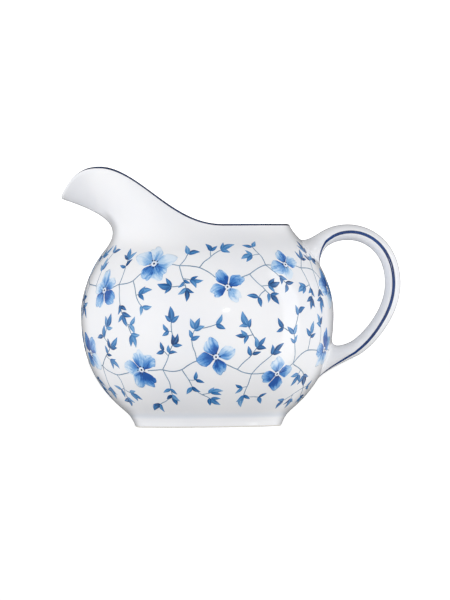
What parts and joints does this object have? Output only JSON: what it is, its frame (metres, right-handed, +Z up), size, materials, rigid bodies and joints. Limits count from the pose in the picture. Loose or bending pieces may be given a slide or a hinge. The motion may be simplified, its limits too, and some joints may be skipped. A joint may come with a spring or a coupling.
{
  "type": "cream jug",
  "caption": "Round-bellied glazed porcelain cream jug with a tall pouring spout, looped handle, low foot ring and fine blue lines.",
  "frame": {"origin": "on the belly's axis, in the plane that the foot ring stands on", "axes": "+Z up along the belly's axis, +X towards the handle, -X towards the spout, XZ is the plane of symmetry"},
  "size_m": [0.1287, 0.096, 0.099],
  "materials": {
    "glaze": "glossy clear glaze over cool white porcelain",
    "cobalt": "fired cobalt blue under a glossy glaze"
  },
  "bodies": {
    "root": {"bowl": "glaze", "foot_ring": "glaze", "neck_and_spout": "glaze", "handle_grip": "glaze", "handle_upper_root": "glaze", "handle_lower_root": "glaze", "rim_line": "cobalt", "handle_line_front": "cobalt", "handle_line_back": "cobalt"}
  },
  "joints": []
}
